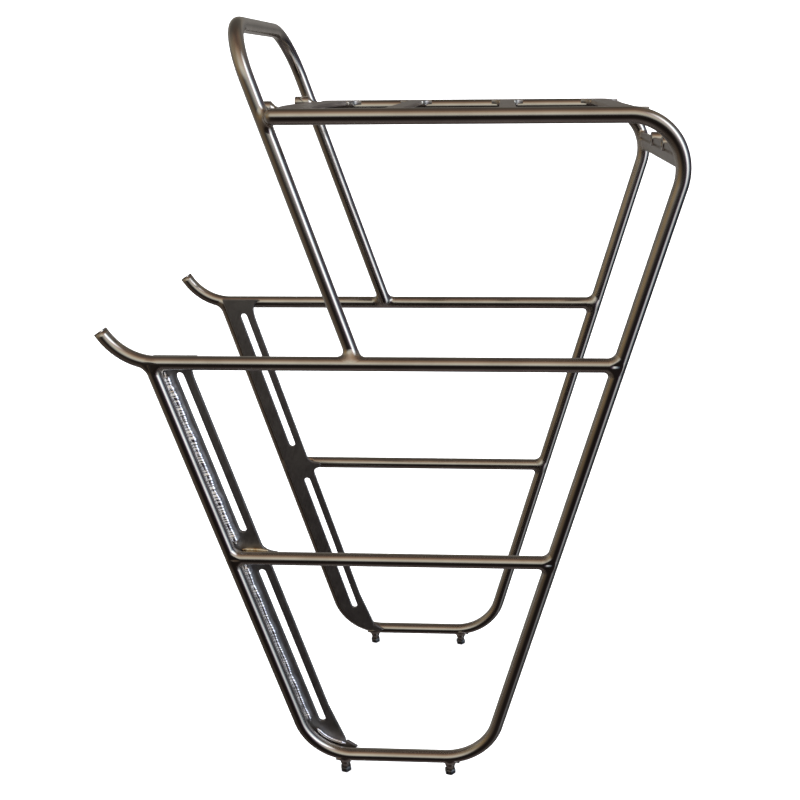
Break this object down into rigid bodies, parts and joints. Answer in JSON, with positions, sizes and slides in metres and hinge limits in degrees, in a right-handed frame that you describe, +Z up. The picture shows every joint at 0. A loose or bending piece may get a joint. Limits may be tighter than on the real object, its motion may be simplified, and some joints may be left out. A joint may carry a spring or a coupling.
{
  "type": "rear rack",
  "caption": "Bicycle rear rack: bent stainless tubes welded to cross struts and slotted frame plates, with a hoop that rises over the platform.",
  "frame": {"origin": "middle of the bounding box's base, at the level of the foot bolts' undersides", "axes": "+X towards the rear of the bicycle, +Y towards its right side, +Z up"},
  "size_m": [0.403, 0.192, 0.5685],
  "materials": {
    "tube_steel": "satin, finely brushed along the tube",
    "plate_steel": "matt, brushed sheet",
    "bolt_steel": "dark, plain"
  },
  "bodies": {
    "root": {"foot_bolt_front_left": "bolt_steel", "foot_bolt_front_right": "bolt_steel", "foot_bolt_rear_left": "bolt_steel", "foot_bolt_rear_right": "bolt_steel", "foot_boss_front_left": "tube_steel", "foot_boss_front_right": "tube_steel", "foot_boss_rear_left": "tube_steel", "foot_boss_rear_right": "tube_steel", "front_strut": "plate_steel", "hoop": "tube_steel", "lamp_boss_left": "tube_steel", "lamp_boss_right": "tube_steel", "lamp_bracket": "plate_steel", "lower_rail_left": "tube_steel", "lower_rail_right": "tube_steel", "middle_strut_front": "plate_steel", "middle_strut_rear": "plate_steel", "pannier_rail_cap_left": "tube_steel", "pannier_rail_cap_right": "tube_steel", "pannier_rail_left": "tube_steel", "pannier_rail_right": "tube_steel", "rear_strut": "plate_steel", "side_frame_left": "tube_steel", "side_frame_right": "tube_steel", "slotted_plate_left": "plate_steel", "slotted_plate_right": "plate_steel", "stay_boss_left": "tube_steel", "stay_boss_right": "tube_steel"}
  },
  "joints": []
}
